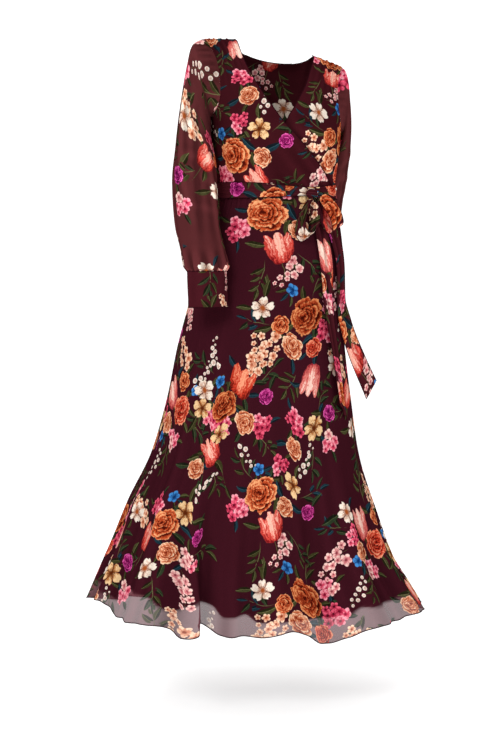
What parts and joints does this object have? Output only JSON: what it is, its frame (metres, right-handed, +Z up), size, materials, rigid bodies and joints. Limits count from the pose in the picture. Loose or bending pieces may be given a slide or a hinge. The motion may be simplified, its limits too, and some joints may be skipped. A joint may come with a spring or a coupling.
{
  "type": "maxi dress",
  "caption": "Long-sleeved wrap-look maxi dress in sheer printed chiffon, worn shape with nobody in it: V neck, tied sash, lined A-line skirt with a wavy hem",
  "frame": {"origin": "midway between the neck-side ends of the two shoulder seams, where a wearer's shoulders hold the dress", "axes": "+Z up the dress, -Y out of its front, +X towards the wearer's left"},
  "size_m": [0.8097, 0.5904, 1.3825],
  "materials": {
    "printed_chiffon": "matt, printed with flowers",
    "sheer_chiffon": "sheer, printed with flowers",
    "lining": "smooth, plain dark",
    "sash_chiffon": "matt, printed with flowers"
  },
  "bodies": {
    "root": {"bodice_front_right": "printed_chiffon", "bodice_front_left": "printed_chiffon", "bodice_back": "printed_chiffon", "skirt_front": "printed_chiffon", "skirt_back": "printed_chiffon", "lining_front": "lining", "lining_back": "lining", "sleeve_right_front": "sheer_chiffon", "sleeve_right_back": "sheer_chiffon", "sleeve_left_front": "sheer_chiffon", "sleeve_left_back": "sheer_chiffon", "cuff_right": "printed_chiffon", "cuff_left": "printed_chiffon", "sash_band": "sash_chiffon", "sash_knot": "sash_chiffon", "sash_loop_left": "sash_chiffon", "sash_loop_right": "sash_chiffon", "sash_tail_long": "sash_chiffon", "sash_tail_side": "sash_chiffon"}
  },
  "joints": []
}
